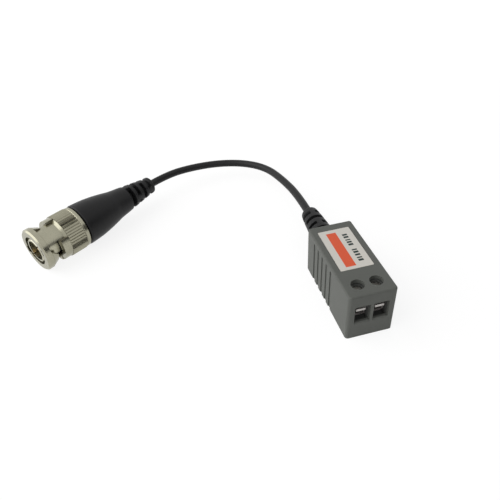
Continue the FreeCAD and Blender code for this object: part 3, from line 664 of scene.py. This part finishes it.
class BALUN_OT_labels(bpy.types.Operator):
    """Printed labels on top and underneath"""

    bl_idname = "balun.labels"
    bl_label = "Labels"

    def execute(self, context):
        film_colour, accent, ink = (colours()[key] for key in ("label", "accent", "ink"))
        low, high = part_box("top_label")
        bar_left = low.x + BAR_SIDE
        row_x = high.x - ROW_SIDE
        row_start = low.y + ROW_FRONT
        bar_ends = (low.y + BAR_FRONT, high.y - BAR_BACK)

        def bar(x, y):
            return (inside(x, bar_left, bar_left + BAR_WIDTH, PRINT_EDGE)
                    * inside(y, *bar_ends, PRINT_EDGE))

        def marks(x, y):
            return mark_row(x, y, row_x, row_start)

        dress(["top_label"], film("top_label_print", film_colour, [(accent, bar), (ink, marks)]))
        low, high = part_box("bottom_label")
        band_front = high.y - BAND_WIDTH
        strip_front = low.y + STRIP_FRONT

        def band(x, y):
            return ((y - band_front) / PRINT_EDGE + 0.5).held()

        def strip(x, y):
            return (inside(x, STRIP_LEFT, STRIP_LEFT + STRIP_WIDTH, PRINT_EDGE)
                    * inside(y, strip_front, band_front - STRIP_GAP, PRINT_EDGE))

        def under_marks(x, y):
            return mark_row(x, y, UNDER_ROW_X, strip_front + UNDER_ROW_START)

        dress(["bottom_label"], film("bottom_label_print", film_colour,
                                     [(accent, band), (accent, strip), (ink, under_marks)]))
        return {"FINISHED"}


def mark_row(x, y, row_x, start):
    """A row of plain dark bars of a few lengths, standing for a printed line."""
    across = inside(x, row_x - MARK_HALF_WIDTH, row_x + MARK_HALF_WIDTH, PRINT_EDGE)
    row = None
    for index, share in enumerate(MARK_SHARES):
        if share:
            low = start + index * MARK_PITCH
            mark = inside(y, low, low + share * MARK_PITCH, PRINT_EDGE)
            row = mark if row is None else row.largest(mark)
    return across * row


class BALUN_OT_terminals(bpy.types.Operator):
    """Terminal block, contacts, cages and screws"""

    bl_idname = "balun.terminals"
    bl_label = "Terminals"

    def execute(self, context):
        dress(["terminal_block"],
              moulded_plastic("block_plastic", colours()["block"], 0.12 * MM, 0.008 * MM))
        tin = plated_metal("tin_plate", TIN, 0.55)
        zinc = plated_metal("zinc_plate", ZINC, 0.55)
        sides = ("left", "right")
        dress(["contact_bar_" + side for side in sides], tin)
        dress(["clamp_cage_" + side for side in sides], zinc)
        for side in sides:
            name = "terminal_screw_" + side
            low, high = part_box(name)
            dress([name], plated_metal(name + "_plate", SCREW_STEEL, 0.36, UP,
                                       (low + high) / 2))
            soften(name, 0.05 * MM)
        return {"FINISHED"}


class BALUN_OT_board(bpy.types.Operator):
    """Circuit board and the parts on it"""

    bl_idname = "balun.board"
    bl_label = "Circuit board"

    def execute(self, context):
        dress(["circuit_board"], self.laminate())
        dress(["ferrite_core"], moulded_plastic("ferrite", FERRITE, 0.1 * MM))
        copper = plated_metal("copper_wire", COPPER, 0.28)
        dress(["winding_left", "winding_right"], copper)
        dress(["surge_diode"], moulded_plastic("diode_body", DIODE, 0.1 * MM))
        dress(["filter_capacitor"], self.end_capped("filter_capacitor", CAPACITOR))
        dress(["load_resistor"], self.end_capped("load_resistor", RESISTOR))
        return {"FINISHED"}

    def laminate(self):
        """Green solder mask over a grid of tracks."""
        f = Finish("board_laminate")
        place = f.place()
        x, y, _ = f.parts(place)
        weave = f.noise(place, 0.3 * MM, 3.0)
        tracks = inside(abs(x - 2.2 * MM), 0.5 * MM, 0.9 * MM, 0.05 * MM).largest(
            inside(abs(y - 2.0 * MM), 4.2 * MM, 4.6 * MM, 0.05 * MM))
        green = f.mixed(weave, *SOLDER_MASK)
        f.set(Base_Color=f.mixed(tracks, green, TRACKS),
              Roughness=0.34 + (weave - 0.5) * 0.1,
              Normal=f.bumped(weave * 0.3 + tracks * 0.7, 0.02 * MM))
        return f.material

    def end_capped(self, node, colour):
        """A small block with tinned ends across X."""
        f = Finish(node + "_body")
        place = f.place()
        x, _, _ = f.parts(place)
        low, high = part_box(node)
        middle = (low.x + high.x) / 2
        cap = ((abs(x - middle) - (high.x - low.x) * 0.34) / (0.06 * MM)).held()
        grain = f.noise(place, 0.15 * MM, 3.0)
        f.set(Base_Color=f.mixed(cap, f.mixed(grain, shade(colour, 0.85), shade(colour, 1.15)),
                                 SOLDERED_END),
              Metallic=cap, Roughness=0.35 + (grain - 0.5) * 0.2,
              Normal=f.bumped(grain, 0.01 * MM))
        return f.material


class BALUN_OT_relief(bpy.types.Operator):
    """Ribbed strain relief in the box's back wall"""

    bl_idname = "balun.relief"
    bl_label = "Strain relief"

    def execute(self, context):
        black = rubber("relief_rubber", colours()["black"], 0.5)
        dress(["lead_box_end"], black)
        bore = LEAD_RADIUS / MM
        sleeve = ribbed_sleeve("relief_sleeve", RELIEF_SKIN,
                               [(bore, RELIEF_SKIN[-1][1]), (bore, RELIEF_SKIN[0][1])],
                               RELIEF_RIBS, RELIEF_CORE, RELIEF_WEB,
                               Vector((0, box_back, lead_height)), Vector((0, 1, 0)))
        stand_in(sleeve, "cable_relief", black)
        return {"FINISHED"}


class BALUN_OT_plug(bpy.types.Operator):
    """Boot, coupling nut, contacts and the pieces inside the plug"""

    bl_idname = "balun.plug"
    bl_label = "Plug"

    def execute(self, context):
        nickel = plated_metal("nickel_plate", colours()["nickel"], 0.26, plug_axis, plug_tail)
        dress(["coupling_nut", "plug_body", "thrust_washer", "crimp_ferrule"], nickel)
        dress(["contact_sleeve"], plated_metal("sleeve_plate", shade(colours()["nickel"], 1.3), 0.3,
                                               plug_axis, plug_tail))
        dress(["centre_pin"], plated_metal("gold_plate", colours()["gold"], 0.25,
                                           plug_axis, plug_tail))
        dress(["spring_washer", "retaining_ring"],
              plated_metal("spring_steel", SPRING_STEEL, 0.35))
        dress(["plug_insulator"], moulded_plastic("insulator_plastic", INSULATOR,
                                                  0.2 * MM, 0.004 * MM, 0.35))
        dress(["plug_gasket"], rubber("gasket_rubber", GASKET, 0.5))
        black = rubber("boot_plastic", colours()["black"], 0.45)
        dress(["lead_plug_end"], black)
        sleeve = ribbed_sleeve("boot_sleeve", BOOT_SKIN, BOOT_HOLLOW, BOOT_RIBS, BOOT_CORE,
                               BOOT_WEB, plug_tail, plug_axis)
        stand_in(sleeve, "plug_boot", black)
        return {"FINISHED"}


class BALUN_OT_lead(bpy.types.Operator):
    """The free coaxial lead"""

    bl_idname = "balun.lead"
    bl_label = "Lead"

    def execute(self, context):
        diameter = sizes().lead_diameter
        curve = bpy.data.curves.new("lead_cable", "CURVE")
        curve.dimensions = "3D"
        curve.bevel_depth = diameter / 2
        curve.bevel_resolution = 10
        curve.resolution_u = 24
        curve.use_fill_caps = True
        spline = curve.splines.new("NURBS")
        spline.points.add(len(LEAD_ROUTE) - 1)
        for point, place in zip(spline.points, LEAD_ROUTE):
            point.co = tuple(Vector(place) * MM) + (1.0,)
        spline.order_u = 3
        spline.use_endpoint_u = True
        lead = bpy.data.objects.new("lead_cable", curve)
        context.scene.collection.objects.link(lead)
        stand_in(lead, "lead", rubber("lead_jacket", colours()["black"], 0.42))
        return {"FINISHED"}


class BALUN_PT_panel(bpy.types.Panel):
    """Lists the pieces of the balun"""

    bl_idname = "BALUN_PT_panel"
    bl_label = "Video balun"
    bl_space_type = "VIEW_3D"
    bl_region_type = "UI"
    bl_category = "Balun"

    def draw(self, context):
        for operator in OPERATORS:
            self.layout.operator(operator.bl_idname)
        for group in (context.scene.balun_colours, context.scene.balun_sizes):
            for key in group.bl_rna.properties.keys():
                if key not in ("rna_type", "name"):
                    self.layout.prop(group, key)


OPERATORS = (
    BALUN_OT_stage,
    BALUN_OT_box,
    BALUN_OT_labels,
    BALUN_OT_terminals,
    BALUN_OT_board,
    BALUN_OT_relief,
    BALUN_OT_plug,
    BALUN_OT_lead,
)
CLASSES = (BalunColours, BalunSizes) + OPERATORS + (BALUN_PT_panel,)


def register():
    for kind in CLASSES:
        bpy.utils.register_class(kind)
    bpy.types.Scene.balun_colours = bpy.props.PointerProperty(type=BalunColours)
    bpy.types.Scene.balun_sizes = bpy.props.PointerProperty(type=BalunSizes)


def unregister():
    del bpy.types.Scene.balun_sizes
    del bpy.types.Scene.balun_colours
    for kind in reversed(CLASSES):
        bpy.utils.unregister_class(kind)


def main():
    register()
    bpy.ops.balun.stage()
    bpy.ops.balun.box()
    bpy.ops.balun.labels()
    bpy.ops.balun.terminals()
    bpy.ops.balun.board()
    bpy.ops.balun.relief()
    bpy.ops.balun.plug()
    bpy.ops.balun.lead()


if __name__ == "__main__":
    main()
